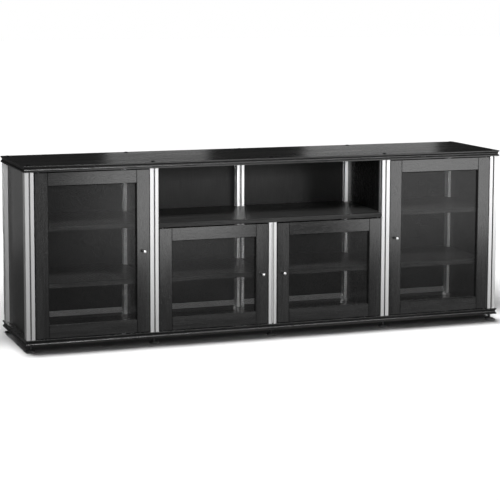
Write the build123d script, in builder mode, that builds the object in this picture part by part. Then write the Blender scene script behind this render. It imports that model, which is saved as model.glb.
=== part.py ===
from build123d import *
import os

# Low four-bay media cabinet: wooden boards and framed doors on slotted aluminium posts.
# Millimetres, +X across the width, front face towards -Y, +Z up.
# Drafting zero is the floor, the middle of the width and the front face of the posts.

os.makedirs("parts", exist_ok=True)

# ---- driving dimensions ---------------------------------------------------------------
BAYS = 4
PITCH = 535.0                 # post centre to post centre
POST = 38.0                   # square post
POST_DEPTH = 456.0            # front of the front posts to back of the rear posts
OVERHANG = 6.0                # boards past the posts, all round
FOOT_HEIGHT = 25.0            # floor to the underside of the base board
BOARD = 26.0                  # top and base board thickness
CLEAR_HEIGHT = 701.0          # between the base board and the top board
SHELF = 19.0                  # shelf and door thickness
MIDDLE_SHELF_TOP = 516.0      # above the floor
LOWER_SHELF_TOP = 276.0       # above the floor
PANEL = 6.0                   # side panels and partitions
BACK = 5.0                    # back panels
CABLE_GAP = 26.0              # open strip under the back panels

BASE_TOP = FOOT_HEIGHT + BOARD
TOP_UNDER = BASE_TOP + CLEAR_HEIGHT
HEIGHT = TOP_UNDER + BOARD
MIDDLE_SHELF_UNDER = MIDDLE_SHELF_TOP - SHELF
LOWER_SHELF_UNDER = LOWER_SHELF_TOP - SHELF
BOARD_WIDTH = BAYS * PITCH + POST + 2 * OVERHANG
BOARD_DEPTH = POST_DEPTH + 2 * OVERHANG
POST_X = [(i - BAYS / 2) * PITCH for i in range(BAYS + 1)]
FRONT_Y = POST / 2
REAR_Y = POST_DEPTH - POST / 2
PARTITION_X = PITCH
SIDE_X = 2 * PITCH

# ---- posts ----------------------------------------------------------------------------
SLOT = 6.5
SLOT_DEPTH = 9.0
LOBE_RADIUS = 6.5             # outer corners of the extrusion
MOUTH_RADIUS = 3.0            # where a lobe rolls into its slot
CORE_BORE = 8.4               # screw bore along the middle of a post
TOUCH = 0.01                  # closer than this counts as the same place

# ---- cover strip of the middle front post ---------------------------------------------
STRIP_RECESS = 1.2
STRIP_THICK = 6.0
STRIP_AIR = 0.3
STRIP_ROUND = 1.5
STRIP_FOOT_GAP = 4.0

# ---- board edges ----------------------------------------------------------------------
COVE_HEIGHT = 15.0
COVE_DEPTH = 4.8
COVE_RADIUS = (COVE_HEIGHT ** 2 / 4 + COVE_DEPTH ** 2) / (2 * COVE_DEPTH)
LIP_ROUND = 1.2

# ---- top bolts and caps ---------------------------------------------------------------
CAP = 16.0
CAP_THICK = 2.0
CAP_AIR = 0.1
CAP_ROUND = 0.4
BOLT = 8.0
BOLT_HEAD = 13.0
BOLT_HEAD_HEIGHT = 8.0
BOLT_LENGTH = 60.0
BOLT_SOCKET = 6.0
BOLT_CLEAR = 8.4

# ---- feet -----------------------------------------------------------------------------
PAD = 40.0
PAD_HEIGHT = 8.0
PAD_RIM = 4.5                 # upright rim of the pad, under its sloping top
PAD_ROUND = 1.5
STUD_SHOWS = 2.0              # bare thread between a pad and its sleeve
PAD_STUD = 6.0
PAD_STUD_IN = 11.0            # thread inside the sleeve
SLEEVE = 13.0
SLEEVE_LENGTH = FOOT_HEIGHT - PAD_HEIGHT - STUD_SHOWS
SLEEVE_BORE = PAD_STUD_IN + 1.0
PAD_HUB = SLEEVE + 4.0
SPIGOT_LENGTH = BOARD + 30.0

# ---- side, back and partition panels --------------------------------------------------
PANEL_END_AIR = 1.0           # between a panel's edge and the floor of its slot
SEAM = 1.0                    # between neighbouring back panels
BACK_HEAD_GAP = 2.0
BACK_LOW = BASE_TOP + CABLE_GAP
BACK_HIGH = TOP_UNDER - BACK_HEAD_GAP
CLAMP_SHANK = 5.0
CLAMP_HEAD = 16.0
CLAMP_HEAD_THICK = 1.0
CLAMP_HOLE = 6.0
CLAMP_IN = 30.0               # from the head and foot of a back panel
CLAMP_Z = [BACK_LOW + CLAMP_IN, (BACK_LOW + BACK_HIGH) / 2, BACK_HIGH - CLAMP_IN]

# ---- shelves --------------------------------------------------------------------------
SHELF_FRONT = 40.0            # front edge of the shelves behind the doors
SHELF_BACK = POST_DEPTH - 3.0
NOTCH_CLEAR = 1.0             # round the posts
WALL_AIR = 0.5                # beside the side panels and partitions
CENTRE_AIR = 3.0              # each side of the middle, between the two lower shelves
EDGE_EASE = 1.0
SIDE_SPAN = (PARTITION_X + PANEL / 2 + WALL_AIR, SIDE_X - PANEL / 2 - WALL_AIR)
CENTRE_SPAN = (CENTRE_AIR, PARTITION_X - PANEL / 2 - WALL_AIR)

# ---- shelf brackets -------------------------------------------------------------------
BRACKET_THICK = 2.0
BRACKET_DROP = 22.0
BRACKET_REACH = 20.0
PLATE_SPAN = (12.0, 36.0)     # upright plate, from the outer face of the post inwards
FLANGE_SPAN = (30.0, 66.0)    # ledge under the shelf, from the same face
SLOT_STUD = 6.0               # moulded stud that locks in a post slot
STUD_REACH = SLOT_DEPTH - 2

# ---- doors ----------------------------------------------------------------------------
DOOR_WIDTH = 490.0
DOOR_GAP_FOOT = 3.0
DOOR_GAP_HEAD = 5.0
FRAME = 56.0                  # stile and rail width
BEVEL = 3.0                   # chamfer round the inside of the frame
SCREEN = 1.0
SCREEN_SETBACK = 11.5
SCREEN_TUCK = 5.0             # how far the screen runs into the frame
GROOVE = SCREEN + 0.2
GROOVE_DEPTH = SCREEN_TUCK + 0.5
PIVOT_IN = 14.0               # pivot axis in from the hinge edge of the door
PIVOT_BACK = 8.0              # pivot axis behind the front of the door
PIN = 6.0
PIN_FLANGE = 12.0
PIN_AIR = 0.4                 # between the pin's flange and the door
PIN_IN_BOARD = 12.0
PIN_IN_DOOR = 10.0
BUSH = 10.0
BUSH_BORE = PIN + 0.16
BUSH_BORE_DEPTH = PIN_IN_DOOR + 1.0
BUSH_LENGTH = 13.0

# ---- knobs ----------------------------------------------------------------------------
KNOB_IN = 27.0                # knob in from the latch edge
KNOB = 13.0
KNOB_REACH = 25.0
KNOB_ROUND = 2.0
KNOB_BASE = 10.0
KNOB_BASE_THICK = 1.5
KNOB_NECK = 6.0
KNOB_NECK_FROM = 3.0
KNOB_NECK_TO = 14.0
KNOB_HEAD_FROM = 17.0

# ---- catches --------------------------------------------------------------------------
CATCH_LENGTH = 46.0
CATCH_WIDTH = 10.0
CATCH_DROP = 60.0             # catch centre below the head of its door
CATCH_AIR = 0.4
STRIKE_THICK = 1.0
STRIKE_LENGTH = 42.0
CATCH_FRONT = SHELF + STRIKE_THICK + CATCH_AIR
CATCH_BACK = POST - 4.0
CATCH_STUD = 1.8

# Part frame: origin under the middle of the whole outline, knobs included.
ORIGIN_Y = (POST_DEPTH + OVERHANG - KNOB_REACH) / 2
FRAME_SHIFT = Location((0, -ORIGIN_Y, 0))

UPRIGHT_FROM_FOOT = (Align.CENTER, Align.CENTER, Align.MIN)
UPRIGHT_FROM_HEAD = (Align.CENTER, Align.CENTER, Align.MAX)


def save(node, name):
    """Label a finished piece, place it in the part's frame and write its STEP."""
    piece = node.part.moved(FRAME_SHIFT)
    piece.label = name
    export_step(piece, f"parts/{name}.step")


def bay_middle(bay):
    """Middle of a bay across the width."""
    return (bay - (BAYS - 1) / 2) * PITCH


def hinge_side(bay):
    """Side of the door that carries its pivots: left in the left half, right in the right."""
    return -1 if bay < BAYS / 2 else 1


def door_head(bay):
    """Underside of what closes a bay's door opening: the top board or the middle shelf."""
    return TOP_UNDER if bay in (0, BAYS - 1) else MIDDLE_SHELF_UNDER


def pivot_x(bay):
    """Pivot axis of a bay's door across the width."""
    return bay_middle(bay) + hinge_side(bay) * (DOOR_WIDTH / 2 - PIVOT_IN)


POST_POINTS = [(x, y) for y in (FRONT_Y, REAR_Y) for x in POST_X]
BOLTED_POINTS = [point for point in POST_POINTS if point != (0, FRONT_Y)]
PIVOTS = [(pivot_x(bay), PIVOT_BACK) for bay in range(BAYS)]
OUTER_PIVOTS = [PIVOTS[0], PIVOTS[-1]]
INNER_PIVOTS = PIVOTS[1:-1]


# ---- top and base boards --------------------------------------------------------------
def moulded_board(z_low):
    """One board with a hollow moulding round its four edges and a softened upper rim."""
    middle_y = POST_DEPTH / 2
    middle_z = z_low + BOARD / 2
    axis_x = BOARD_WIDTH / 2 + COVE_RADIUS - COVE_DEPTH
    axis_y = BOARD_DEPTH / 2 + COVE_RADIUS - COVE_DEPTH
    with Locations((0, middle_y, middle_z)):
        Box(BOARD_WIDTH, BOARD_DEPTH, BOARD)
    with Locations((0, middle_y - axis_y, middle_z), (0, middle_y + axis_y, middle_z)):
        Cylinder(COVE_RADIUS, 2 * axis_x, rotation=(0, 90, 0), mode=Mode.SUBTRACT)
    with Locations((-axis_x, middle_y, middle_z), (axis_x, middle_y, middle_z)):
        Cylinder(COVE_RADIUS, 2 * axis_y, rotation=(90, 0, 0), mode=Mode.SUBTRACT)


def soften_rim(board):
    """Round the upper outer edge of a board."""
    fillet(board.faces().sort_by(Axis.Z)[-1].outer_wire().edges(), LIP_ROUND)


with BuildPart() as top_board:
    moulded_board(TOP_UNDER)
    soften_rim(top_board)
    with Locations(*[(x, y, HEIGHT) for x, y in POST_POINTS]):
        CounterBoreHole(BOLT_CLEAR / 2, CAP / 2, CAP_THICK + BOLT_HEAD_HEIGHT)
    with Locations(*[(x, y, TOP_UNDER) for x, y in OUTER_PIVOTS]):
        Cylinder(PIN / 2, PIN_IN_BOARD, align=UPRIGHT_FROM_FOOT, mode=Mode.SUBTRACT)
save(top_board, "top_board")

with BuildPart() as base_board:
    moulded_board(FOOT_HEIGHT)
    soften_rim(base_board)
    with Locations(*[(x, y, BASE_TOP) for x, y in POST_POINTS]):
        Hole(BOLT_CLEAR / 2)
    with Locations(*[(x, y, BASE_TOP) for x, y in PIVOTS]):
        Cylinder(PIN / 2, PIN_IN_BOARD, align=UPRIGHT_FROM_HEAD, mode=Mode.SUBTRACT)
save(base_board, "base_board")


# ---- posts ----------------------------------------------------------------------------
def build_post(name, x, y, height):
    """One post on the base board: a square with a slot between two rounded lobes per face."""

    def off_diagonal(vertex):
        return abs(abs(vertex.X - x) - abs(vertex.Y - y)) > TOUCH

    def reach(vertex):
        return round(max(abs(vertex.X - x), abs(vertex.Y - y)), 3)

    with BuildPart() as post:
        with BuildSketch(Plane(origin=(x, y, BASE_TOP))) as section:
            Rectangle(POST, POST)
            with PolarLocations(POST / 2 - SLOT_DEPTH / 2, 4):
                Rectangle(SLOT_DEPTH, SLOT, mode=Mode.SUBTRACT)
            Circle(CORE_BORE / 2, mode=Mode.SUBTRACT)
            outline = section.vertices().group_by(reach)[-1]
            corners = [vertex for vertex in outline if not off_diagonal(vertex)]
            mouths = [vertex for vertex in outline if off_diagonal(vertex)]
            fillet(corners, LOBE_RADIUS)
            fillet(mouths, MOUTH_RADIUS)
        extrude(amount=height)
    save(post, name)


for number, x in enumerate(POST_X, start=1):
    front_height = MIDDLE_SHELF_UNDER - BASE_TOP if x == 0 else CLEAR_HEIGHT
    build_post(f"front_post_{number}", x, FRONT_Y, front_height)
    build_post(f"rear_post_{number}", x, REAR_Y, CLEAR_HEIGHT)

# ---- cover strip in the face slot of the middle front post ------------------------------
with BuildPart() as middle_post_strip:
    strip_foot = BASE_TOP + STRIP_FOOT_GAP
    with Locations((0, STRIP_RECESS, strip_foot)):
        Box(SLOT - STRIP_AIR, STRIP_THICK, MIDDLE_SHELF_UNDER - strip_foot,
            align=(Align.CENTER, Align.MIN, Align.MIN))
    fillet(middle_post_strip.edges().filter_by(Axis.Z).group_by(Axis.Y)[0], STRIP_ROUND)
save(middle_post_strip, "middle_post_strip")


# ---- side panels, partitions and back panels --------------------------------------------
def build_wall(name, x):
    """Upright panel held in the facing slots of a front and a rear post."""
    run_in = SLOT_DEPTH - PANEL_END_AIR
    depth = POST_DEPTH - 2 * (POST - run_in)
    with BuildPart() as wall:
        with Locations((x, POST_DEPTH / 2, BASE_TOP + CLEAR_HEIGHT / 2)):
            Box(PANEL, depth, CLEAR_HEIGHT)
    save(wall, name)


def build_back_panel(number, low_x, high_x):
    """Back panel screwed to the two rear posts at its edges."""
    with BuildPart() as back_panel:
        with Locations((low_x, POST_DEPTH, BACK_LOW)):
            Box(high_x - low_x, BACK, BACK_HIGH - BACK_LOW, align=(Align.MIN, Align.MIN, Align.MIN))
        screw_places = [(x, POST_DEPTH, z) for x in (POST_X[number - 1], POST_X[number]) for z in CLAMP_Z]
        with Locations(*screw_places):
            Cylinder(CLAMP_HOLE / 2, 4 * BACK, rotation=(90, 0, 0), mode=Mode.SUBTRACT)
    save(back_panel, f"back_panel_{number}")


build_wall("left_side_panel", -SIDE_X)
build_wall("left_partition", -PARTITION_X)
build_wall("right_partition", PARTITION_X)
build_wall("right_side_panel", SIDE_X)

for number in range(1, BAYS + 1):
    left_edge = POST_X[0] - POST / 2 if number == 1 else POST_X[number - 1] + SEAM / 2
    right_edge = POST_X[-1] + POST / 2 if number == BAYS else POST_X[number] - SEAM / 2
    build_back_panel(number, left_edge, right_edge)

with BuildPart() as back_panel_clamps:
    with Locations(*[(x, POST_DEPTH + BACK + CLAMP_HEAD_THICK / 2, z) for x in POST_X for z in CLAMP_Z]):
        Cylinder(CLAMP_HEAD / 2, CLAMP_HEAD_THICK, rotation=(90, 0, 0))
    with Locations(*[(x, POST_DEPTH, z) for x in POST_X for z in CLAMP_Z]):
        Cylinder(CLAMP_SHANK / 2, 2 * BACK, rotation=(90, 0, 0))
save(back_panel_clamps, "back_panel_clamps")


# ---- shelves --------------------------------------------------------------------------
def notch(x, y, depthwise):
    """Cut a shelf clear of one post: depthwise says which way the notch runs out."""
    with Locations((x, y, LOWER_SHELF_TOP)):
        Box(POST + 2 * NOTCH_CLEAR, 2 * POST, 2 * CLEAR_HEIGHT,
            align=(Align.CENTER, depthwise, Align.CENTER), mode=Mode.SUBTRACT)


def shelf_blank(low_x, high_x, front_y, top_z, rear_posts):
    """Shelf whose back edge is notched round the rear posts that it meets."""
    with Locations((low_x, front_y, top_z)):
        Box(high_x - low_x, SHELF_BACK - front_y, SHELF, align=(Align.MIN, Align.MIN, Align.MAX))
    for x in rear_posts:
        notch(x, POST_DEPTH - POST - NOTCH_CLEAR, Align.MIN)


def ease_front(shelf):
    """Soften the long front edges of a shelf."""
    fillet(shelf.edges().filter_by(Axis.X).group_by(Axis.Y)[0], EDGE_EASE)


def build_inner_shelf(name, low_x, high_x, top_z, rear_posts):
    """Shelf that stands behind the doors."""
    with BuildPart() as shelf:
        shelf_blank(low_x, high_x, SHELF_FRONT, top_z, rear_posts)
        ease_front(shelf)
    save(shelf, name)


for level, top_z in (("upper", MIDDLE_SHELF_TOP), ("lower", LOWER_SHELF_TOP)):
    build_inner_shelf(f"left_{level}_shelf", -SIDE_SPAN[1], -SIDE_SPAN[0], top_z,
                      (-SIDE_X, -PARTITION_X))
    build_inner_shelf(f"right_{level}_shelf", SIDE_SPAN[0], SIDE_SPAN[1], top_z,
                      (PARTITION_X, SIDE_X))
build_inner_shelf("centre_left_shelf", -CENTRE_SPAN[1], -CENTRE_SPAN[0], LOWER_SHELF_TOP,
                  (-PARTITION_X, 0))
build_inner_shelf("centre_right_shelf", CENTRE_SPAN[0], CENTRE_SPAN[1], LOWER_SHELF_TOP,
                  (0, PARTITION_X))

with BuildPart() as middle_shelf:
    shelf_blank(-CENTRE_SPAN[1], CENTRE_SPAN[1], 0, MIDDLE_SHELF_TOP, (-PARTITION_X, 0, PARTITION_X))
    notch(-PARTITION_X, POST + NOTCH_CLEAR, Align.MAX)
    notch(PARTITION_X, POST + NOTCH_CLEAR, Align.MAX)
    ease_front(middle_shelf)
    with Locations(*[(x, y, MIDDLE_SHELF_UNDER) for x, y in INNER_PIVOTS]):
        Cylinder(PIN / 2, PIN_IN_BOARD, align=UPRIGHT_FROM_FOOT, mode=Mode.SUBTRACT)
save(middle_shelf, "middle_shelf")


# ---- shelf brackets -------------------------------------------------------------------
def add_bracket(x, side, front, under_z):
    """Angle clip on a post: side is the way it reaches, front tells the front row."""
    face_x = x + side * POST / 2
    across = Align.MIN if side > 0 else Align.MAX
    slot_y = FRONT_Y if front else REAR_Y
    for (near, far), reach_x, drop in ((PLATE_SPAN, BRACKET_THICK, BRACKET_DROP),
                                       (FLANGE_SPAN, BRACKET_REACH, BRACKET_THICK)):
        low_y = near if front else POST_DEPTH - far
        with Locations((face_x, low_y, under_z)):
            Box(reach_x, far - near, drop, align=(across, Align.MIN, Align.MAX))
    with Locations((face_x - side * STUD_REACH / 2, slot_y, under_z - BRACKET_DROP / 2)):
        Cylinder(SLOT_STUD / 2, STUD_REACH, rotation=(0, 90, 0))


with BuildPart() as shelf_brackets:
    for under_z in (LOWER_SHELF_UNDER, MIDDLE_SHELF_UNDER):
        for front in (True, False):
            for bay in range(BAYS):
                add_bracket(POST_X[bay], 1, front, under_z)
                add_bracket(POST_X[bay + 1], -1, front, under_z)
save(shelf_brackets, "shelf_brackets")

# ---- bolts and caps in the top board ----------------------------------------------------
with BuildPart() as top_bolts:
    head_top = HEIGHT - CAP_THICK
    with Locations(*[(x, y, head_top) for x, y in BOLTED_POINTS]):
        Cylinder(BOLT_HEAD / 2, BOLT_HEAD_HEIGHT, align=UPRIGHT_FROM_HEAD)
    with Locations(*[(x, y, head_top - BOLT_HEAD_HEIGHT) for x, y in BOLTED_POINTS]):
        Cylinder(BOLT / 2, BOLT_LENGTH, align=UPRIGHT_FROM_HEAD)
    with BuildSketch(Plane.XY.offset(head_top)):
        with Locations(*BOLTED_POINTS):
            RegularPolygon(BOLT_SOCKET / 2, 6, major_radius=False)
    extrude(amount=-BOLT_HEAD_HEIGHT / 2, mode=Mode.SUBTRACT)
save(top_bolts, "top_bolts")

with BuildPart() as bolt_caps:
    with Locations(*[(x, y, HEIGHT) for x, y in POST_POINTS]):
        Cylinder(CAP / 2 - CAP_AIR, CAP_THICK, align=UPRIGHT_FROM_HEAD)
    fillet(bolt_caps.edges().group_by(Axis.Z)[-1], CAP_ROUND)
save(bolt_caps, "bolt_caps")

# ---- feet -------------------------------------------------------------------------------
with BuildPart() as foot_sleeves:
    with Locations(*[(x, y, FOOT_HEIGHT) for x, y in POST_POINTS]):
        Cylinder(SLEEVE / 2, SLEEVE_LENGTH, align=UPRIGHT_FROM_HEAD)
        Cylinder(BOLT / 2, SPIGOT_LENGTH, align=UPRIGHT_FROM_FOOT)
    with Locations(*[(x, y, FOOT_HEIGHT - SLEEVE_LENGTH) for x, y in POST_POINTS]):
        Cylinder(PAD_STUD / 2, SLEEVE_BORE, align=UPRIGHT_FROM_FOOT, mode=Mode.SUBTRACT)
save(foot_sleeves, "foot_sleeves")

with BuildPart() as single_pad:
    with BuildSketch(Plane.XZ):
        stud_top = PAD_HEIGHT + STUD_SHOWS + PAD_STUD_IN
        with BuildLine():
            Polyline((0, 0), (PAD / 2 - PAD_ROUND, 0), (PAD / 2, PAD_ROUND), (PAD / 2, PAD_RIM),
                     (PAD_HUB / 2, PAD_HEIGHT), (PAD_STUD / 2, PAD_HEIGHT), (PAD_STUD / 2, stud_top),
                     (0, stud_top), close=True)
        make_face()
    revolve(axis=Axis.Z)

with BuildPart() as foot_pads:
    with Locations(*[(x, y, 0) for x, y in POST_POINTS]):
        add(single_pad.part)
save(foot_pads, "foot_pads")

# ---- door pivots and catches --------------------------------------------------------------
with BuildPart() as door_pivot_pins:
    for bay, (x, y) in enumerate(PIVOTS):
        head = door_head(bay)
        with Locations((x, y, BASE_TOP - PIN_IN_BOARD)):
            Cylinder(PIN / 2, PIN_IN_BOARD + DOOR_GAP_FOOT + PIN_IN_DOOR, align=UPRIGHT_FROM_FOOT)
        with Locations((x, y, BASE_TOP)):
            Cylinder(PIN_FLANGE / 2, DOOR_GAP_FOOT - PIN_AIR, align=UPRIGHT_FROM_FOOT)
        with Locations((x, y, head + PIN_IN_BOARD)):
            Cylinder(PIN / 2, PIN_IN_DOOR + DOOR_GAP_HEAD + PIN_IN_BOARD, align=UPRIGHT_FROM_HEAD)
        with Locations((x, y, head)):
            Cylinder(PIN_FLANGE / 2, DOOR_GAP_HEAD - PIN_AIR, align=UPRIGHT_FROM_HEAD)
save(door_pivot_pins, "door_pivot_pins")

with BuildPart() as door_catches:
    for bay in range(BAYS):
        latch_side = -hinge_side(bay)
        face_x = bay_middle(bay) + latch_side * (PITCH - POST) / 2
        catch_z = door_head(bay) - DOOR_GAP_HEAD - CATCH_DROP
        across = Align.MAX if latch_side > 0 else Align.MIN
        with Locations((face_x, CATCH_FRONT, catch_z)):
            Box(CATCH_WIDTH, CATCH_BACK - CATCH_FRONT, CATCH_LENGTH,
                align=(across, Align.MIN, Align.CENTER))
        with Locations((face_x + latch_side * STUD_REACH / 2, CATCH_FRONT + CATCH_STUD / 2, catch_z)):
            Cylinder(CATCH_STUD / 2, STUD_REACH, rotation=(0, 90, 0))
save(door_catches, "door_catches")


# ---- doors ------------------------------------------------------------------------------
def build_stile(name, inner_x, side, low_z, high_z, pivot=None):
    """Upright frame member: side is the way it lies from its inner edge."""
    outward = Align.MIN if side > 0 else Align.MAX
    height = high_z - low_z
    with BuildPart() as stile:
        with Locations((inner_x, 0, low_z)):
            Box(FRAME, SHELF, height, align=(outward, Align.MIN, Align.MIN))
        front_edges = stile.edges().filter_by(Axis.Z).group_by(Axis.Y)[0]
        chamfer(front_edges.sort_by(lambda edge: abs(edge.center().X - inner_x))[0], BEVEL)
        with Locations((inner_x, SCREEN_SETBACK - (GROOVE - SCREEN) / 2, (low_z + high_z) / 2)):
            Box(GROOVE_DEPTH, GROOVE, height - 2 * (FRAME - GROOVE_DEPTH),
                align=(outward, Align.MIN, Align.CENTER), mode=Mode.SUBTRACT)
        if pivot:
            with Locations((*pivot, low_z)):
                Cylinder(BUSH / 2, BUSH_LENGTH, align=UPRIGHT_FROM_FOOT, mode=Mode.SUBTRACT)
            with Locations((*pivot, high_z)):
                Cylinder(BUSH / 2, BUSH_LENGTH, align=UPRIGHT_FROM_HEAD, mode=Mode.SUBTRACT)
    save(stile, name)


def build_rails(name, middle, low_z, high_z):
    """Head and foot rails between the stiles."""
    length = DOOR_WIDTH - 2 * FRAME
    groove_y = SCREEN_SETBACK - (GROOVE - SCREEN) / 2
    inner_edges = ((low_z + FRAME, Align.MAX), (high_z - FRAME, Align.MIN))
    with BuildPart() as rails:
        for edge_z, outward in inner_edges:
            with Locations((middle, 0, edge_z)):
                Box(length, SHELF, FRAME, align=(Align.CENTER, Align.MIN, outward))
        front_edges = rails.edges().filter_by(Axis.X).group_by(Axis.Y)[0].group_by(Axis.Z)
        chamfer(front_edges[1] + front_edges[2], BEVEL)
        for edge_z, outward in inner_edges:
            with Locations((middle, groove_y, edge_z)):
                Box(length, GROOVE, GROOVE_DEPTH, align=(Align.CENTER, Align.MIN, outward),
                    mode=Mode.SUBTRACT)
    save(rails, name)


def build_screen(name, middle, low_z, high_z):
    """Screen whose edges run into the grooves of the frame."""
    tucked = 2 * (FRAME - SCREEN_TUCK)
    with BuildPart() as screen:
        with Locations((middle, SCREEN_SETBACK, (low_z + high_z) / 2)):
            Box(DOOR_WIDTH - tucked, SCREEN, high_z - low_z - tucked,
                align=(Align.CENTER, Align.MIN, Align.CENTER))
    save(screen, name)


def build_knob(name, x, z):
    """Turned knob: small base, thin neck and a conical shoulder up to a round head."""
    outward = Plane(origin=(x, 0, z), x_dir=(1, 0, 0), z_dir=(0, 0, -1))
    radius = KNOB / 2
    with BuildPart() as knob:
        with BuildSketch(outward):
            with BuildLine():
                Polyline((radius - KNOB_ROUND, KNOB_REACH), (0, KNOB_REACH), (0, 0), (KNOB_BASE / 2, 0),
                         (KNOB_BASE / 2, KNOB_BASE_THICK), (KNOB_NECK / 2, KNOB_NECK_FROM),
                         (KNOB_NECK / 2, KNOB_NECK_TO), (radius, KNOB_HEAD_FROM),
                         (radius, KNOB_REACH - KNOB_ROUND))
                RadiusArc((radius, KNOB_REACH - KNOB_ROUND), (radius - KNOB_ROUND, KNOB_REACH), -KNOB_ROUND)
            make_face()
        revolve(axis=Axis((x, 0, z), (0, -1, 0)))
    save(knob, name)


def build_fittings(name, pivot, latch_edge, side, low_z, high_z):
    """Pivot bushes in the head and foot of a door, and the strike plate of its catch."""
    inward = Align.MIN if side > 0 else Align.MAX
    with BuildPart() as fittings:
        for face_z, align in ((low_z, UPRIGHT_FROM_FOOT), (high_z, UPRIGHT_FROM_HEAD)):
            with Locations((*pivot, face_z)):
                Cylinder(BUSH / 2, BUSH_LENGTH, align=align)
                Cylinder(BUSH_BORE / 2, BUSH_BORE_DEPTH, align=align, mode=Mode.SUBTRACT)
        with Locations((latch_edge, SHELF, high_z - CATCH_DROP)):
            Box(CATCH_WIDTH, STRIKE_THICK, STRIKE_LENGTH, align=(inward, Align.MIN, Align.CENTER))
    save(fittings, name)


for bay in range(BAYS):
    door = f"door_{bay + 1}"
    side = hinge_side(bay)
    middle = bay_middle(bay)
    low_z = BASE_TOP + DOOR_GAP_FOOT
    high_z = door_head(bay) - DOOR_GAP_HEAD
    opening = DOOR_WIDTH / 2 - FRAME
    latch_edge = middle - side * DOOR_WIDTH / 2
    build_stile(f"{door}_hinge_stile", middle + side * opening, side, low_z, high_z, PIVOTS[bay])
    build_stile(f"{door}_latch_stile", middle - side * opening, -side, low_z, high_z)
    build_rails(f"{door}_rails", middle, low_z, high_z)
    build_screen(f"{door}_screen", middle, low_z, high_z)
    build_knob(f"{door}_knob", latch_edge + side * KNOB_IN, (low_z + high_z) / 2)
    build_fittings(f"{door}_fittings", PIVOTS[bay], latch_edge, side, low_z, high_z)
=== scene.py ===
import math

import bmesh
import bpy
from mathutils import Matrix, Vector


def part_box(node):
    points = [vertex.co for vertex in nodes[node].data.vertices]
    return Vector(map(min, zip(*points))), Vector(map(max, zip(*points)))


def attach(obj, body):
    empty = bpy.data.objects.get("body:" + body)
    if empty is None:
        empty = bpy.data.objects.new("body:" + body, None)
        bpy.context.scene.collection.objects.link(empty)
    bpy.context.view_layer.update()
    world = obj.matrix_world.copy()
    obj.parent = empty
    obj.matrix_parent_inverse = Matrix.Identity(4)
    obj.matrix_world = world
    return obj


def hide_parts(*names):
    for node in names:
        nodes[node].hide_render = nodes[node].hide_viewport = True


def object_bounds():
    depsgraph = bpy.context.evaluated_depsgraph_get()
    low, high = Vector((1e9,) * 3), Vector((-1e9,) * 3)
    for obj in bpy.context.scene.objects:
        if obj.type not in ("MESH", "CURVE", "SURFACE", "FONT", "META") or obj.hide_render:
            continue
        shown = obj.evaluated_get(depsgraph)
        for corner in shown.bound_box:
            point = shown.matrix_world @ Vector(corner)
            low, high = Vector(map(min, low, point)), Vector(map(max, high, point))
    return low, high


# Looks for a four-bay media cabinet. Metres, +X along the width, -Y out of the front, +Z up.

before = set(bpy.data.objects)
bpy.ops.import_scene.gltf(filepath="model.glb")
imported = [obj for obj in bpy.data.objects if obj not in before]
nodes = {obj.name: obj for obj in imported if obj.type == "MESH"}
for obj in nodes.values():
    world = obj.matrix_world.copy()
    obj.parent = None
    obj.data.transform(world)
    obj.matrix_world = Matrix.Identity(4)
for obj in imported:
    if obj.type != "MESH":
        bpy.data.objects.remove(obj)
cad_low, cad_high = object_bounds()
DOORS = (1, 2, 3, 4)
MM = 0.001

# ---- camera --------------------------------------------------------------------------------------
CAMERA_PLACE = Vector((-2.534, -6.904, 1.504))
CAMERA_YAW = 19.96            # degrees, turned towards +X
CAMERA_PITCH = 6.39           # degrees, looking down
CAMERA_ROLL = -0.15
CAMERA_LENS = 119.85
CAMERA_SHIFT = (-0.0012, -0.15)

# ---- perforated screens --------------------------------------------------------------------------
HOLE_PITCH = 5.5 * MM
HOLE = 4.0 * MM
PLAIN_RIM = 3.0 * MM

# ---- softened arrises ----------------------------------------------------------------------------
WOOD_ARRIS = 0.2 * MM


# ---- node helpers --------------------------------------------------------------------------------
RANGE_SOCKETS = ("From Min", "From Max", "To Min", "To Max")


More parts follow.
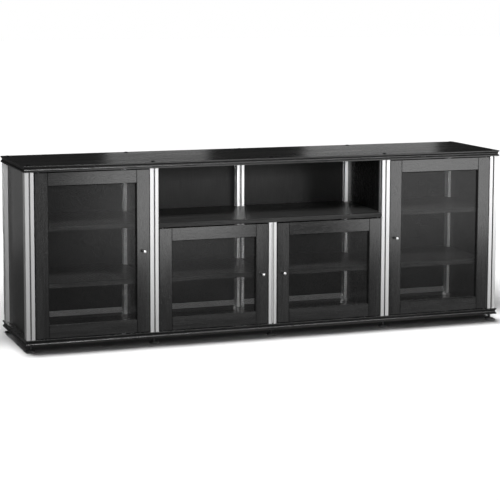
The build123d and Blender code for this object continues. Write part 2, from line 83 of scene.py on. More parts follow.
class Shader:
    """A Principled material with short calls for the nodes that it is built from."""

    def __init__(self, name):
        self.material = bpy.data.materials.new(name)
        self.material.use_nodes = True
        self.tree = self.material.node_tree
        self.principled = self.tree.nodes["Principled BSDF"]
        self.coordinates = self.tree.nodes.new("ShaderNodeTexCoord")

    def set(self, **values):
        """Constants on the shader's own sockets."""
        for key, value in values.items():
            self.principled.inputs[key.replace("_", " ")].default_value = value

    def link(self, source, target):
        self.tree.links.new(source, target)

    def feed(self, socket, source):
        self.link(source, self.principled.inputs[socket])

    def scaled(self, vector, scale):
        """Coordinates multiplied axis by axis, in cycles per metre."""
        mapping = self.tree.nodes.new("ShaderNodeMapping")
        self.link(vector, mapping.inputs["Vector"])
        mapping.inputs["Scale"].default_value = scale
        return mapping.outputs["Vector"]

    def noise(self, vector, scale=1.0, detail=2.0, rough=0.5):
        texture = self.tree.nodes.new("ShaderNodeTexNoise")
        self.link(vector, texture.inputs["Vector"])
        texture.inputs["Scale"].default_value = scale
        texture.inputs["Detail"].default_value = detail
        texture.inputs["Roughness"].default_value = rough
        return texture.outputs[0]

    def remap(self, value, low, high, to_low=0.0, to_high=1.0):
        """Linear map of low..high on to to_low..to_high, clamped."""
        node = self.tree.nodes.new("ShaderNodeMapRange")
        self.link(value, node.inputs["Value"])
        for key, number in zip(RANGE_SOCKETS, (low, high, to_low, to_high)):
            node.inputs[key].default_value = number
        return node.outputs["Result"]

    def math(self, operation, first, second):
        node = self.tree.nodes.new("ShaderNodeMath")
        node.operation = operation
        for socket, value in zip(node.inputs, (first, second)):
            if isinstance(value, (int, float)):
                socket.default_value = value
            else:
                self.link(value, socket)
        return node.outputs["Value"]

    def blend(self, first, second, share):
        """Two values mixed, with this share of the second."""
        kept = self.math("MULTIPLY", first, 1 - share)
        return self.math("ADD", kept, self.math("MULTIPLY", second, share))

    def mix_vector(self, factor, first, second):
        node = self.tree.nodes.new("ShaderNodeMix")
        node.data_type = "VECTOR"
        self.link(factor, node.inputs[0])
        self.link(first, node.inputs[4])
        self.link(second, node.inputs[5])
        return node.outputs[1]

    def greys(self, value, low, high):
        """Grey colour that runs from low to high as value goes from 0 to 1."""
        node = self.tree.nodes.new("ShaderNodeMix")
        node.data_type = "RGBA"
        self.link(value, node.inputs[0])
        node.inputs[6].default_value = (low, low, low, 1)
        node.inputs[7].default_value = (high, high, high, 1)
        return node.outputs[2]

    def bump(self, height, strength, distance):
        node = self.tree.nodes.new("ShaderNodeBump")
        node.inputs["Strength"].default_value = strength
        node.inputs["Distance"].default_value = distance
        self.link(height, node.inputs["Height"])
        self.feed("Normal", node.outputs["Normal"])

    def brushed_along(self, direction):
        """Tangent across a grain direction, so that gloss spreads across the grain."""
        turn = self.tree.nodes.new("ShaderNodeVectorTransform")
        turn.vector_type = "VECTOR"
        turn.convert_from = "OBJECT"
        turn.convert_to = "WORLD"
        turn.inputs[0].default_value = direction
        geometry = self.tree.nodes.new("ShaderNodeNewGeometry")
        cross = self.tree.nodes.new("ShaderNodeVectorMath")
        cross.operation = "CROSS_PRODUCT"
        self.link(geometry.outputs["Normal"], cross.inputs[0])
        self.link(turn.outputs[0], cross.inputs[1])
        self.feed("Tangent", cross.outputs[0])


AXES = {"X": (1, 0, 0), "Y": (0, 1, 0), "Z": (0, 0, 1)}


def along(axis, with_grain, across):
    """Scale that is low along the grain and high across it."""
    return tuple(with_grain if AXES[axis][i] else across for i in range(3))


# ---- materials -----------------------------------------------------------------------------------
OAK_TONES = (0.006, 0.022)    # darkest and lightest grey of black oak
# Painted light: the shelves are the same black oak, painted lighter to stand in for the light that falls
# on them behind the screens.
PAINTED_LIGHT_SHELF_TONES = (0.016, 0.07)
FIGURE_SPAN = (0.36, 0.64)    # noise values of the darkest and the lightest wood
PORE_EDGE = (0.50, 0.64)      # noise values where an open pore starts and where it is full
PORE_SHADE = 0.35             # tone left inside a pore
PORE_DEPTH = 0.25             # depth of a pore beside the height of the streaks
OAK_GLOSS = 0.8               # specular level of the lacquer
TAPE_GLOSS = 0.1              # the same on edging tape
TAPE_DULLING = 0.3            # roughness added on edging tape


def swayed(oak, place, scale, reach):
    """Coordinates that wander a little, so that the grain isn't straight."""
    wander = oak.noise(oak.scaled(place, scale))
    sway = oak.tree.nodes.new("ShaderNodeVectorMath")
    sway.operation = "ADD"
    oak.link(place, sway.inputs[0])
    oak.link(oak.math("MULTIPLY", wander, reach), sway.inputs[1])
    return sway.outputs[0]


def open_grain(oak, place, axis, layers, streak_share):
    """Figure, pores, tone and relief of oak. A layer is (scale along, scale across, detail, roughness)."""
    bands, streaks, pores = [
        oak.noise(oak.scaled(place, along(axis, lengthwise, across)), detail=detail, rough=rough)
        for lengthwise, across, detail, rough in layers]
    pore = oak.remap(pores, *PORE_EDGE)
    figure = oak.blend(bands, streaks, streak_share)
    shade = oak.remap(pore, 0.0, 1.0, 1.0, PORE_SHADE)
    tone = oak.math("MULTIPLY", oak.remap(figure, *FIGURE_SPAN), shade)
    relief = oak.math("SUBTRACT", streaks, oak.math("MULTIPLY", pore, PORE_DEPTH))
    return figure, pore, tone, relief


def black_oak(name, axis, tones=OAK_TONES, rough=(0.20, 0.30), front_edge=False):
    """Black open-pored oak under satin lacquer. front_edge adds matt black edging tape in front."""
    oak = Shader(name)
    place = swayed(oak, oak.coordinates.outputs["Object"], along(axis, 1.6, 9.0), 0.03)
    layers = ((1.1, 26.0, 3.0, 0.55), (7.0, 190.0, 4.0, 0.6), (34.0, 1250.0, 2.0, 0.5))
    figure, pore, tone, relief = open_grain(oak, place, axis, layers, 0.45)
    oak.feed("Base Color", oak.greys(tone, *tones))
    roughness = oak.remap(oak.blend(figure, pore, 0.3), 0.25, 0.65, *rough)
    if front_edge:
        facing = oak.tree.nodes.new("ShaderNodeSeparateXYZ")
        oak.link(oak.coordinates.outputs["Normal"], facing.inputs[0])
        taped = oak.math("LESS_THAN", facing.outputs["Y"], -0.5)
        roughness = oak.math("ADD", roughness, oak.math("MULTIPLY", taped, TAPE_DULLING))
        oak.feed("Specular IOR Level", oak.remap(taped, 0.0, 1.0, OAK_GLOSS, TAPE_GLOSS))
    else:
        oak.set(Specular_IOR_Level=OAK_GLOSS)
    oak.feed("Roughness", roughness)
    oak.bump(relief, 0.5, 0.15 * MM)
    oak.set(Anisotropic=0.2)
    oak.brushed_along(AXES[axis])
    return oak.material


def board_oak(name):
    """Oak of the two boards: grain along the width, and along the depth on the end mouldings."""
    oak = Shader(name)
    place = oak.coordinates.outputs["Object"]
    split = oak.tree.nodes.new("ShaderNodeSeparateXYZ")
    oak.link(oak.coordinates.outputs["Normal"], split.inputs[0])
    on_end = oak.math("GREATER_THAN", oak.math("ABSOLUTE", split.outputs["X"], 0.0), 0.5)
    turned = oak.tree.nodes.new("ShaderNodeMapping")
    turned.inputs["Rotation"].default_value = (0, 0, math.radians(90))
    oak.link(place, turned.inputs["Vector"])
    place = oak.mix_vector(on_end, place, turned.outputs["Vector"])
    place = swayed(oak, place, along("X", 1.3, 7.0), 0.05)
    layers = ((1.4, 17.0, 4.0, 0.6), (6.0, 120.0, 4.0, 0.62), (30.0, 1100.0, 2.0, 0.5))
    figure, pore, tone, relief = open_grain(oak, place, "X", layers, 0.5)
    oak.feed("Base Color", oak.greys(tone, *OAK_TONES))
    oak.feed("Roughness", oak.remap(oak.blend(figure, pore, 0.25), 0.28, 0.66, 0.24, 0.38))
    oak.bump(relief, 0.5, 0.2 * MM)
    oak.set(Specular_IOR_Level=0.5)
    return oak.material


def black_board(name):
    """Thin back board with a matt black face and a faint pressed grain."""
    board = Shader(name)
    place = board.coordinates.outputs["Object"]
    grain = board.noise(board.scaled(place, along("Z", 12.0, 260.0)), detail=4.0, rough=0.6)
    cloud = board.noise(place, scale=6.0, detail=3.0)
    board.feed("Base Color", board.greys(board.remap(cloud, 0.35, 0.65), 0.011, 0.016))
    board.feed("Roughness", board.remap(grain, 0.3, 0.7, 0.5, 0.66))
    board.bump(grain, 0.35, 0.15 * MM)
    board.set(Specular_IOR_Level=0.4)
    return board.material


SLOT_REACH = 9 * MM           # how far a wall has to be to leave a surface open
PAINTED_SLOT_SHADE = 0.15             # painted shade: tone left at the bottom of a slot


def satin_aluminium(name):
    """Clear-anodised extrusion with fine drawing lines along its length, and painted shade that darkens
    its colour down in its slots.
    """
    metal = Shader(name)
    place = metal.coordinates.outputs["Object"]
    lines = metal.noise(metal.scaled(place, along("Z", 3.0, 2200.0)), detail=3.0, rough=0.6)
    cloud = metal.noise(metal.scaled(place, along("Z", 5.0, 40.0)))
    # Painted shade: ambient occlusion darkens the colour down in the slots and other hollows of the
    # extrusion.
    hollow = metal.tree.nodes.new("ShaderNodeAmbientOcclusion")
    hollow.samples = 6
    hollow.only_local = True
    hollow.inputs["Distance"].default_value = SLOT_REACH
    sheen = metal.remap(lines, 0.3, 0.7, 0.9, 1.0)
    painted_shade = metal.remap(hollow.outputs["AO"], 0.25, 0.8, PAINTED_SLOT_SHADE, 1.0)
    metal.feed("Base Color", metal.greys(metal.math("MULTIPLY", sheen, painted_shade), 0.0, 0.74))
    metal.feed("Roughness", metal.remap(metal.blend(lines, cloud, 0.4), 0.35, 0.65, 0.42, 0.50))
    metal.bump(lines, 0.25, 0.05 * MM)
    metal.set(Metallic=1.0, Anisotropic=0.15)
    metal.brushed_along(AXES["Z"])
    return metal.material


def turned_aluminium(name):
    """Machined and anodised knob: faint rings round its axis."""
    metal = Shader(name)
    place = metal.coordinates.outputs["Object"]
    rings = metal.noise(metal.scaled(place, (60.0, 3000.0, 60.0)), detail=2.0)
    specks = metal.noise(place, scale=900.0, detail=2.0)
    metal.feed("Base Color", metal.greys(metal.remap(specks, 0.3, 0.7), 0.84, 0.92))
    metal.feed("Roughness", metal.remap(rings, 0.3, 0.7, 0.36, 0.46))
    metal.bump(rings, 0.2, 0.04 * MM)
    metal.set(Metallic=1.0)
    return metal.material


def grey_plastic(name):
    """Silver-grey cover strip with fine extrusion lines."""
    strip = Shader(name)
    place = strip.coordinates.outputs["Object"]
    lines = strip.noise(strip.scaled(place, along("Z", 5.0, 1800.0)), detail=2.0)
    strip.feed("Base Color", strip.greys(strip.remap(lines, 0.3, 0.7), 0.50, 0.58))
    strip.feed("Roughness", strip.remap(lines, 0.3, 0.7, 0.34, 0.46))
    strip.bump(lines, 0.2, 0.05 * MM)
    strip.set(Metallic=0.7)
    return strip.material


def powder_coat(name):
    """Black powder coat with a fine orange-peel surface."""
    coat = Shader(name)
    place = coat.coordinates.outputs["Object"]
    peel = coat.noise(place, scale=700.0, detail=2.0)
    cloud = coat.noise(place, scale=9.0, detail=2.0)
    coat.feed("Base Color", coat.greys(coat.remap(cloud, 0.35, 0.65), 0.006, 0.010))
    coat.feed("Roughness", coat.remap(peel, 0.3, 0.7, 0.24, 0.32))
    coat.bump(peel, 0.2, 0.05 * MM)
    coat.set(Specular_IOR_Level=0.45)
    return coat.material


def moulded_plastic(name):
    """Black moulded plastic with a fine spark-eroded texture."""
    plastic = Shader(name)
    place = plastic.coordinates.outputs["Object"]
    texture = plastic.noise(place, scale=1500.0, detail=3.0, rough=0.6)
    smear = plastic.noise(place, scale=60.0, detail=2.0)
    plastic.feed("Base Color", plastic.greys(plastic.remap(smear, 0.35, 0.65), 0.014, 0.022))
    plastic.feed("Roughness", plastic.remap(smear, 0.35, 0.65, 0.42, 0.58))
    plastic.bump(texture, 0.4, 0.06 * MM)
    plastic.set(Specular_IOR_Level=0.5)
    return plastic.material


def matt_rubber(name):
    """Dull black rubber with a dusty bloom."""
    rubber = Shader(name)
    place = rubber.coordinates.outputs["Object"]
    bloom = rubber.noise(place, scale=120.0, detail=4.0, rough=0.6)
    rubber.feed("Base Color", rubber.greys(rubber.remap(bloom, 0.35, 0.65), 0.004, 0.009))
    rubber.feed("Roughness", rubber.remap(bloom, 0.35, 0.65, 0.6, 0.75))
    rubber.bump(bloom, 0.3, 0.05 * MM)
    rubber.set(Specular_IOR_Level=0.05)
    return rubber.material


def plated_steel(name, low, high, rough):
    """Plated steel with mottled plating."""
    steel = Shader(name)
    place = steel.coordinates.outputs["Object"]
    mottle = steel.noise(place, scale=220.0, detail=4.0, rough=0.65)
    steel.feed("Base Color", steel.greys(steel.remap(mottle, 0.3, 0.7), low, high))
    steel.feed("Roughness", steel.remap(mottle, 0.3, 0.7, rough, rough + 0.14))
    steel.bump(mottle, 0.25, 0.05 * MM)
    steel.set(Metallic=1.0)
    return steel.material


OAK_UPRIGHT = black_oak("oak_upright_grain", "Z")
OAK_ACROSS = black_oak("oak_level_grain", "X")
OAK_SIDE = black_oak("oak_side", "Z", rough=(0.32, 0.44))
# The shelves take the painted-light tones.
OAK_SHELF = black_oak("oak_shelf", "X", tones=PAINTED_LIGHT_SHELF_TONES, rough=(0.34, 0.46), front_edge=True)
OAK_BOARD = board_oak("oak_boards")
BACK_BOARD = black_board("back_board")
ALUMINIUM = satin_aluminium("satin_aluminium")
KNOB_METAL = turned_aluminium("turned_aluminium")
STRIP = grey_plastic("grey_strip")
COAT = powder_coat("black_powder_coat")
PLASTIC = moulded_plastic("black_plastic")
RUBBER = matt_rubber("black_rubber")
ZINC = plated_steel("zinc_steel", 0.5, 0.66, 0.3)
BLACK_STEEL = plated_steel("black_steel", 0.05, 0.09, 0.32)


# ---- CAD nodes keep their shape and take these finishes ------------------------------------------
def finish_of(name):
    """The material of a CAD node, by its name."""
    rules = (
        ("_board", OAK_BOARD), ("shelf_brackets", PLASTIC), ("shelf", OAK_SHELF), ("rails", OAK_ACROSS),
        ("stile", OAK_UPRIGHT), ("side_panel", OAK_SIDE), ("partition", OAK_UPRIGHT),
        ("clamps", PLASTIC), ("back_panel", BACK_BOARD), ("strip", STRIP), ("post", ALUMINIUM),
        ("caps", RUBBER), ("catches", PLASTIC), ("pads", PLASTIC), ("sleeves", BLACK_STEEL),
        ("screen", COAT), ("knob", KNOB_METAL), ("bolts", ZINC), ("pins", BLACK_STEEL),
        ("fittings", ZINC),
    )
    return next(material for part, material in rules if part in name)


def soften(piece, width):
    """Tiny rounded arrises that catch the light, without changing the piece's size."""
    bevel = piece.modifiers.new("arris", "BEVEL")
    bevel.width = width
    bevel.segments = 2
    bevel.limit_method = "ANGLE"
    bevel.angle_limit = math.radians(50)
    bevel.harden_normals = True


for name, node in nodes.items():
    node.data.materials.clear()
    node.data.materials.append(finish_of(name))
    if name.endswith(("stile", "rails")):
        soften(node, WOOD_ARRIS)


# ---- mesh helpers --------------------------------------------------------------------------------
TURNED_SIDES = 40
KNOB_SIDES = 48
WELD = 0.001 * MM


def new_piece(name, mesh, material, body, slot, *replaced):
    """Link a finished mesh, give it its finish and hang it on its body."""
    piece = bpy.data.objects.new(name, mesh)
    bpy.context.scene.collection.objects.link(piece)
    mesh.materials.append(material)
    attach(piece, body)
    if replaced:
        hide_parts(*replaced)
    return piece


def arc(centre, radius, start, end, steps):
    """Points (r, h) of an arc in a turning profile, angles in degrees."""
    angles = [math.radians(start + (end - start) * i / steps) for i in range(steps + 1)]
    return [(centre[0] + radius * math.cos(a), centre[1] + radius * math.sin(a)) for a in angles]


def turn(bm, profile, place, axis, segments):
    """Turn a profile of (radius, height) points about an axis through place. Ends close on the axis."""
    basis = Vector(axis).to_track_quat("Z", "Y").to_matrix()
    rings = []
    for radius, height in profile:
        if radius < 1e-7:
            rings.append([bm.verts.new(Vector(place) + basis @ Vector((0, 0, height)))])
            continue
        ring = []
        for i in range(segments):
            angle = 2 * math.pi * i / segments
            point = Vector((radius * math.cos(angle), radius * math.sin(angle), height))
            ring.append(bm.verts.new(Vector(place) + basis @ point))
        rings.append(ring)
    for low, high in zip(rings, rings[1:]):
        for i in range(segments):
            j = i + 1
            corners = [low[i % len(low)], low[j % len(low)], high[j % len(high)], high[i % len(high)]]
            bm.faces.new(list(dict.fromkeys(corners)))


def finished(bm, name, crease=35):
    """Mesh from a bmesh, smooth apart from edges sharper than crease degrees."""
    bmesh.ops.recalc_face_normals(bm, faces=bm.faces)
    for face in bm.faces:
        face.smooth = True
    for edge in bm.edges:
        edge.smooth = edge.calc_face_angle(0) < math.radians(crease)
    mesh = bpy.data.meshes.new(name)
    bm.to_mesh(mesh)
    bm.free()
    return mesh


# ---- perforated screens --------------------------------------------------------------------------
def perforated_sheet(name, width, height):
    """Flat sheet round the origin in the XZ plane, with staggered round holes inside a plain rim."""
    row_height = HOLE_PITCH * math.sqrt(3) / 2
    columns = int((width - 2 * PLAIN_RIM) / HOLE_PITCH)
    rows = int((height - 2 * PLAIN_RIM) / row_height)
    left = -columns * HOLE_PITCH / 2
    foot = -rows * row_height / 2
    points = []
    faces = []

    def add_point(x, z):
        points.append((x, 0, z))
        return len(points) - 1

    halves = 2 * columns
    step_x = [left + k * HOLE_PITCH / 2 for k in range(halves + 1)]
    lines = [[add_point(x, foot + i * row_height) for x in step_x] for i in range(rows + 1)]
    for i in range(rows):
        middle = foot + (i + 0.5) * row_height
        stagger = i % 2
        ends = {k: add_point(step_x[k], middle) for k in (*range(stagger, halves + 1, 2), 0, halves)}
        for k in range(stagger, halves - 1, 2):
            centre = step_x[k + 1]
            rim = [lines[i][k], lines[i][k + 1], lines[i][k + 2], ends[k + 2],
                   lines[i + 1][k + 2], lines[i + 1][k + 1], lines[i + 1][k], ends[k]]
            hole = []
            for corner in range(8):
                angle = math.radians(225 + 45 * corner)
                x = centre + HOLE / 2 * math.cos(angle)
                hole.append(add_point(x, middle + HOLE / 2 * math.sin(angle)))
            for a in range(8):
                b = (a + 1) % 8
                faces.append((rim[a], rim[b], hole[b], hole[a]))
        if stagger:
            for k in (0, halves - 1):
                faces.append((lines[i][k], lines[i][k + 1], ends[k + 1],
                              lines[i + 1][k + 1], lines[i + 1][k], ends[k]))
        for k, x in ((0, -width / 2), (halves, width / 2)):
            outer = [add_point(x, foot + (i + part) * row_height) for part in (0, 1)]
            strip = [lines[i][k], ends[k], lines[i + 1][k], outer[1], outer[0]]
            faces.append(tuple(reversed(strip)) if k else tuple(strip))
    for line, z in ((lines[0], -height / 2), (lines[rows], height / 2)):
        outer = [add_point(x, z) for x in (-width / 2, step_x[0], step_x[-1], width / 2)]
        inner_z = points[line[0]][2]
        inner = [add_point(-width / 2, inner_z), *line, add_point(width / 2, inner_z)]
        faces.append(tuple([*outer, *reversed(inner)]))
    mesh = bpy.data.meshes.new(name)
    mesh.from_pydata(points, [], faces)
    bm = bmesh.new()
    bm.from_mesh(mesh)
    bmesh.ops.remove_doubles(bm, verts=bm.verts, dist=0.01 * MM)
    bmesh.ops.recalc_face_normals(bm, faces=bm.faces)
    bm.to_mesh(mesh)
    bm.free()
    return mesh


def hang_screen(number):
    """Perforated steel in place of the plain sheet of one door."""
    low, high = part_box(f"door_{number}_screen")
    mesh = perforated_sheet(f"door_{number}_perforated", high.x - low.x, high.z - low.z)
    mesh.transform(Matrix.Translation((low + high) / 2))
    new_piece(f"door_{number}_perforated_screen", mesh, COAT, f"door_{number}", "black_screen",
              f"door_{number}_screen")


# ---- knobs ---------------------------------------------------------------------------------------
def fit_knob(number):
    """Turned knob: black rose and waisted stem, softly domed bright head."""
    low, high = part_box(f"door_{number}_knob")
    place = ((low.x + high.x) / 2, high.y, (low.z + high.z) / 2)
    radius = (high.x - low.x) / 2
    reach = high.y - low.y
    base = 0.77 * radius
    neck = 0.42 * radius
    edge = 0.24 * radius
    dome = 0.05 * reach
    rose = 0.045 * reach
    rose_round = 0.03 * reach
    joint = (neck + 0.16 * radius, 0.585 * reach)
    shoulder = 0.68 * reach
    stem = [(0, 0), (base, 0), (base, rose)]
    stem += arc((base - rose_round, rose), rose_round, 0, 90, 4)
    stem += [(neck + 0.12 * radius, 0.085 * reach), (neck, 0.16 * reach), (neck, 0.5 * reach)]
    stem += [joint, (0, joint[1])]
    head = [(0, joint[1]), joint, (0.9 * radius, shoulder)]
    head += arc((radius - edge, shoulder + edge), edge, -50, 0, 4)
    head += arc((radius - edge, reach - dome - edge), edge, 0, 78, 6)
    head += [(radius * share, reach - dome * share ** 2) for share in (0.62, 0.4, 0.2)]
    head += [(0, reach)]
    for part, profile, material, slot in (("stem", stem, BLACK_STEEL, "black_steel"),
                                          ("head", head, KNOB_METAL, "satin_aluminium")):
        bm = bmesh.new()
        turn(bm, profile, place, (0, -1, 0), KNOB_SIDES)
        new_piece(f"door_{number}_knob_{part}", finished(bm, part), material, f"door_{number}", slot,
                  f"door_{number}_knob")


for number in DOORS:
    hang_screen(number)
    fit_knob(number)


# ---- feet ----------------------------------------------------------------------------------------
def post_places():
    """Axis of every post, from the posts' own boxes."""
    places = []
    for row in ("front", "rear"):
        for number in range(1, 6):
            low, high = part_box(f"{row}_post_{number}")
            places.append(((low.x + high.x) / 2, (low.y + high.y) / 2))
    return places


PAD_RADIUS = 20.0 * MM
PAD_TOP = 8.0 * MM
PAD_RIM = 4.5 * MM            # height of the upright rim
PAD_ROUND = 1.5 * MM
PAD_TREAD = 5.0 * MM          # width of the ring that stands on the floor
PAD_HOLLOW = 0.6 * MM         # recess inside that ring
HUB_RADIUS = 8.8 * MM
HUB_ROUND = 0.8 * MM
STUD_RADIUS = 3.0 * MM
THREAD_PITCH = 1.0 * MM
THREAD_DEPTH = 0.5 * MM
THREAD_IN = 2.0 * MM          # thread that is hidden inside the sleeve
SLEEVE_RADIUS = 6.5 * MM
SLEEVE_FOOT = 10.0 * MM
SLEEVE_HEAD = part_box("base_board")[0].z
SLEEVE_MOUTH = 1.0 * MM
SLEEVE_CHAMFER = 0.8 * MM
SLEEVE_GROOVE = 0.6 * MM
FLANGE_REACH = 2.0 * MM
FLANGE_THICK = 1.2 * MM
FLANGE_SLOPE = 0.3 * MM


def pad_profile():
    """Levelling pad: hollow foot, rolled edges, upright rim, dished top, hub and threaded stud."""
    tread = PAD_RADIUS - PAD_TREAD
    profile = [(0, PAD_HOLLOW), (tread - 1 * MM, PAD_HOLLOW), (tread, 0)]
    profile += arc((PAD_RADIUS - PAD_ROUND, PAD_ROUND), PAD_ROUND, -90, 0, 5)
    profile += arc((PAD_RADIUS - PAD_ROUND, PAD_RIM - PAD_ROUND), PAD_ROUND, 0, 75, 5)
    profile += [(13.5 * MM, 5.1 * MM), (10.5 * MM, 6.0 * MM), (9.2 * MM, 7.4 * MM)]
    profile += arc((HUB_RADIUS - HUB_ROUND, PAD_TOP - HUB_ROUND), HUB_ROUND, 20, 90, 4)
    profile += [(STUD_RADIUS, PAD_TOP)]
    turns = int((SLEEVE_FOOT + THREAD_IN - PAD_TOP) / THREAD_PITCH)
    for i in range(turns):
        foot = PAD_TOP + i * THREAD_PITCH
        profile.append((STUD_RADIUS - THREAD_DEPTH, foot + THREAD_PITCH / 2))
        profile.append((STUD_RADIUS, foot + THREAD_PITCH))
    profile += [(0, PAD_TOP + turns * THREAD_PITCH)]
    return profile


def sleeve_profile():
    """Threaded sleeve: chamfered foot, a turned groove and a flange under the board."""
    middle = (SLEEVE_FOOT + SLEEVE_HEAD) / 2
    flange_foot = SLEEVE_HEAD - FLANGE_THICK
    flange = SLEEVE_RADIUS + FLANGE_REACH
    return [(STUD_RADIUS, SLEEVE_FOOT + SLEEVE_MOUTH), (STUD_RADIUS, SLEEVE_FOOT),
            (SLEEVE_RADIUS - SLEEVE_CHAMFER, SLEEVE_FOOT), (SLEEVE_RADIUS, SLEEVE_FOOT + SLEEVE_CHAMFER),
            (SLEEVE_RADIUS, middle - SLEEVE_GROOVE), (SLEEVE_RADIUS - SLEEVE_GROOVE, middle),
            (SLEEVE_RADIUS, middle + SLEEVE_GROOVE), (SLEEVE_RADIUS, flange_foot - FLANGE_SLOPE),
            (flange, flange_foot), (flange, SLEEVE_HEAD),
            (STUD_RADIUS, SLEEVE_HEAD), (STUD_RADIUS, SLEEVE_FOOT + SLEEVE_MOUTH)]


def turned_set(name, profile, material, slot, replaced):
    """The same turned part under every post, as one piece."""
    bm = bmesh.new()
    for x, y in post_places():
        turn(bm, profile, (x, y, 0), (0, 0, 1), TURNED_SIDES)
    bmesh.ops.remove_doubles(bm, verts=bm.verts, dist=WELD)
    new_piece(name, finished(bm, name), material, "carcass", slot, replaced)


turned_set("levelling_pads", pad_profile(), PLASTIC, "black_plastic", "foot_pads")
turned_set("threaded_sleeves", sleeve_profile(), BLACK_STEEL, "black_steel", "foot_sleeves")


# ---- bolt caps -----------------------------------------------------------------------------------
CAP_RADIUS = 8.0 * MM
CAP_SKIRT = 1.2 * MM
CAP_DOME = 3.2 * MM
CAP_ROOT = 1.8 * MM
CAP_AIR = 0.3 * MM            # round the root, inside the counterbore


def cap_profile():
    """Domed push-in cap: a root in the board's counterbore, a short skirt and a dome above the board."""
    top = cad_high.z
    root = CAP_RADIUS - CAP_AIR
    profile = [(0, top - CAP_ROOT), (root, top - CAP_ROOT), (root, top), (CAP_RADIUS, top)]
    profile += [(CAP_RADIUS, top + CAP_SKIRT)]
    rise = CAP_DOME - CAP_SKIRT
    for share in (0.96, 0.88, 0.76, 0.6, 0.4, 0.2):
        profile.append((CAP_RADIUS * share, top + CAP_SKIRT + rise * math.sqrt(1 - share ** 2)))
    profile.append((0, top + CAP_DOME))
    return profile


turned_set("domed_bolt_caps", cap_profile(), RUBBER, "black_plastic", "bolt_caps")


# ---- floor, light and camera ---------------------------------------------------------------------
FLOOR_REACH = 40.0
FLOOR_DROP = 0.2 * MM         # air under the pads


def pale_floor():
    """Large plain floor just under the pads."""
    mesh = bpy.data.meshes.new("floor")
    z = cad_low.z - FLOOR_DROP
    corners = [(FLOOR_REACH * x, FLOOR_REACH * y, z) for x, y in ((-1, -1), (1, -1), (1, 1), (-1, 1))]
    mesh.from_pydata(corners, [], [(0, 1, 2, 3)])
    paint = Shader("pale_floor")
    speck = paint.noise(paint.coordinates.outputs["Object"], scale=3.0, detail=4.0)
    paint.feed("Base Color", paint.greys(paint.remap(speck, 0.3, 0.7), 0.84, 0.88))
    paint.set(Roughness=0.9, Specular_IOR_Level=0.1)
    mesh.materials.append(paint.material)
    floor = bpy.data.objects.new("floor", mesh)
    bpy.context.scene.collection.objects.link(floor)
    floor.visible_glossy = False
    floor.visible_diffuse = False
    return floor


def collected(name, objects):
    """Collection outside the scene, for light linking."""
    collection = bpy.data.collections.new(name)
    for piece in objects:
        collection.objects.link(piece)
    return collection


def light_only(light, objects):
    """Keep a light to these objects."""
    light.light_linking.receiver_collection = collected(f"lit_by_{light.name}", objects)


def shade_only(light, objects):
    """Let nothing but these objects throw a shadow in a light."""
    light.light_linking.blocker_collection = collected(f"shading_{light.name}", objects)


def keep_off(light, objects):
    """Keep a light off these objects."""
    unlit = collected(f"unlit_by_{light.name}", objects)
    for member in unlit.collection_objects:
        member.light_linking.link_state = "EXCLUDE"
    light.light_linking.receiver_collection = unlit


def softbox(name, place, target, size, power):
    """Rectangular soft light aimed at a point. It leaves the floor to the floor's own suns.

    Only rear_fill lights the floor too, through a later light_only.
    """
    lamp = bpy.data.lights.new(name, "AREA")
    lamp.shape = "RECTANGLE"
    lamp.size, lamp.size_y = size
    lamp.energy = power
    light = bpy.data.objects.new(name, lamp)
    light.visible_camera = False
    light.location = place
    light.rotation_euler = (Vector(target) - Vector(place)).to_track_quat("-Z", "Y").to_euler()
    bpy.context.scene.collection.objects.link(light)
    keep_off(light, [floor])
    return light


FLAG_HEIGHT = 2.5
FLAG_REACH = 1.3              # depth of the floor that the flag shades behind the cabinet
FLAG_START = 0.2              # from the front of the cabinet to the near edge of that shade
FLAG_LEFT = 0.1               # shade past the left side
FLAG_RIGHT = 0.2
SUN_ABOVE_TURN = (-6, 0, 0)   # degrees, a little from behind


def hang_flag():
    """Level card high behind the cabinet. It keeps the floor there dim and isn't seen itself."""
    mesh = bpy.data.meshes.new("flag")
    behind = FLAG_HEIGHT * math.tan(math.radians(-SUN_ABOVE_TURN[0]))
    near = cad_low.y + FLAG_START + behind
    far = cad_high.y + FLAG_REACH + behind
    corners = [(cad_low.x - FLAG_LEFT, near), (cad_high.x + FLAG_RIGHT, near),
               (cad_high.x + 0.5 * FLAG_REACH, far), (cad_low.x + 0.25 * FLAG_REACH, far)]
    mesh.from_pydata([(x, y, FLAG_HEIGHT) for x, y in corners], [], [(0, 1, 2, 3)])
    mesh.materials.append(RUBBER)
    flag = bpy.data.objects.new("flag", mesh)
    bpy.context.scene.collection.objects.link(flag)
    for ray in ("camera", "diffuse", "glossy", "transmission"):
        setattr(flag, f"visible_{ray}", False)


def floor_sun(name, strength, turn, angle):
    """Soft sun that lights nothing but the floor, so that the floor stays pale out to the horizon."""
    lamp = bpy.data.lights.new(name, "SUN")
    lamp.energy = strength
    lamp.angle = math.radians(angle)
    sun = bpy.data.objects.new(name, lamp)
    sun.rotation_euler = [math.radians(degrees) for degrees in turn]
    bpy.context.scene.collection.objects.link(sun)
    light_only(sun, [floor])


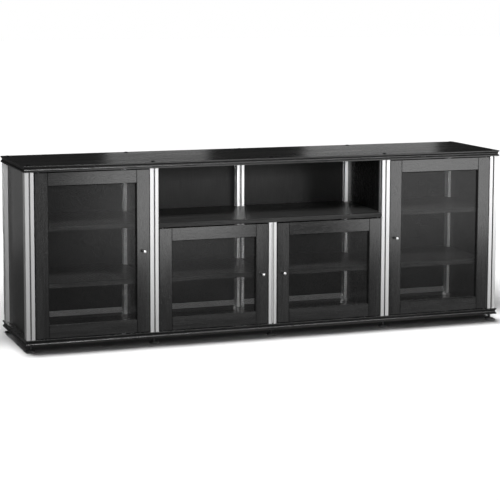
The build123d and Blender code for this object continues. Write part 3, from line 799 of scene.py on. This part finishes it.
def studio_world(above_front, above_back, floor_front, floor_back):
    """White backdrop for the camera. All else sees a dim room above a paler floor."""
    world = bpy.data.worlds.new("studio")
    bpy.context.scene.world = world
    world.use_nodes = True
    tree = world.node_tree
    tree.nodes.clear()

    def add(kind, **settings):
        node = tree.nodes.new(kind)
        for key, value in settings.items():
            setattr(node, key, value)
        return node

    def span(source, low, high, to_low, to_high):
        node = add("ShaderNodeMapRange")
        tree.links.new(source, node.inputs["Value"])
        for key, number in zip(RANGE_SOCKETS, (low, high, to_low, to_high)):
            node.inputs[key].default_value = number
        return node.outputs["Result"]

    direction = add("ShaderNodeTexCoord")
    split = add("ShaderNodeSeparateXYZ")
    tree.links.new(direction.outputs["Generated"], split.inputs[0])
    floor_tone = span(split.outputs["Y"], -0.9, 0.9, floor_front, floor_back)
    room_tone = span(split.outputs["Y"], -0.9, 0.9, above_front, above_back)
    below = span(split.outputs["Z"], -0.02, 0.0, 1.0, 0.0)
    tone = add("ShaderNodeMix")
    tree.links.new(below, tone.inputs[0])
    tree.links.new(room_tone, tone.inputs[2])
    tree.links.new(floor_tone, tone.inputs[3])
    room = add("ShaderNodeBackground")
    tree.links.new(tone.outputs[0], room.inputs["Strength"])
    white = add("ShaderNodeBackground")
    white.inputs["Strength"].default_value = 1.0
    for background in (room, white):
        background.inputs["Color"].default_value = (1, 1, 1, 1)
    path = add("ShaderNodeLightPath")
    mix = add("ShaderNodeMixShader")
    output = add("ShaderNodeOutputWorld")
    tree.links.new(path.outputs["Is Camera Ray"], mix.inputs["Fac"])
    tree.links.new(room.outputs[0], mix.inputs[1])
    tree.links.new(white.outputs[0], mix.inputs[2])
    tree.links.new(mix.outputs[0], output.inputs["Surface"])


def place_camera():
    lens = bpy.data.cameras.new("camera")
    lens.lens = CAMERA_LENS
    lens.sensor_width = 36.0
    lens.shift_x, lens.shift_y = CAMERA_SHIFT
    camera = bpy.data.objects.new("camera", lens)
    camera.location = CAMERA_PLACE
    turn_degrees = (90 - CAMERA_PITCH, CAMERA_ROLL, -CAMERA_YAW)
    camera.rotation_euler = [math.radians(degrees) for degrees in turn_degrees]
    bpy.context.scene.collection.objects.link(camera)
    bpy.context.scene.camera = camera


def around(azimuth, elevation, distance):
    """Place on a sphere round the cabinet. Azimuth 0 is straight in front, and 90 is on its right."""
    a, e = math.radians(azimuth), math.radians(elevation)
    return AIM + distance * Vector((math.sin(a) * math.cos(e), -math.cos(a) * math.cos(e), math.sin(e)))


def standing_card(name, x, z, y, size, power):
    """Upright soft card, square on to the front or the back of the cabinet."""
    return softbox(name, (x, y, z), (x, 0, z), size, power)


AIM = Vector((0, 0, 0.4))
CARD_FRONT = -1.9             # y of the cards that the doors mirror
CARD_BACK = 2.2               # y of the cards that the top board mirrors
FRONT_BOX = (0.8, 0.6)
SIDE_BOX = (1.5, 1.5)
BAY_SHELVES = ("left_upper_shelf", "left_lower_shelf", "centre_left_shelf", "centre_right_shelf",
               "right_upper_shelf", "right_lower_shelf")
bay_shelves = [nodes[name] for name in BAY_SHELVES]
rear_posts = [node for name, node in nodes.items() if name.startswith("rear_post")]
back_panels = [node for name, node in nodes.items() if name.startswith("back_panel")]

floor = pale_floor()
hang_flag()
floor_sun("floor_sun_front", strength=0.15, turn=(60, 0, -20), angle=12)
floor_sun("floor_sun_above", strength=3.9, turn=SUN_ABOVE_TURN, angle=7)
studio_world(above_front=0.01, above_back=0.028, floor_front=0.15, floor_back=0.09)

# Bright bands on the doors and on the top board
standing_card("left_bays", 0.05, 0.42, CARD_FRONT, size=(0.9, 0.65), power=5.0)
standing_card("right_bays", 1.71, 0.5, CARD_FRONT, size=(1.18, 0.8), power=8.0)
standing_card("top_glow_left", 0.21, 1.03, CARD_BACK, size=(0.6, 0.35), power=0.38)
standing_card("top_glow_right", 1.55, 1.03, CARD_BACK, size=(0.86, 0.35), power=0.76)

# General light on the posts, frames and mouldings
softbox("key", around(25, 13, 6), AIM, size=FRONT_BOX, power=68)
softbox("fill_front", around(-20, 13, 6), AIM, size=FRONT_BOX, power=48)
softbox("high_front", around(0, 50, 5), AIM, size=(2.0, 1.0), power=160)

# Sides. The top board mirrors these two at a low angle, so it is left out.
side_left = softbox("side_left", around(-110, 15, 4), AIM, size=SIDE_BOX, power=25)
side_right = softbox("side_right", around(90, 15, 4), AIM, size=SIDE_BOX, power=40)
for side_light in (side_left, side_right):
    keep_off(side_light, [floor, nodes["top_board"]])
side_sheen = standing_card("side_sheen", -1.55, 0.38, CARD_BACK, size=(0.4, 0.66), power=0.45)
light_only(side_sheen, [nodes["left_side_panel"]])

# Rear face, and the shelves and rear posts that show through the screens
rear_fill = softbox("rear_fill", (0, 3.2, 0.42), AIM, size=(3.0, 0.6), power=45)
light_only(rear_fill, [floor, *back_panels, *rear_posts])
shelf_light = softbox("shelf_light", around(0, 42, 5), AIM, size=(2.4, 0.5), power=520)
light_only(shelf_light, bay_shelves)
post_light = softbox("post_light", around(20, 4, 6), AIM, size=(1.2, 0.4), power=46)
light_only(post_light, rear_posts)
shade_only(post_light, [floor])
place_camera()
bpy.context.scene.view_settings.view_transform = "Standard"
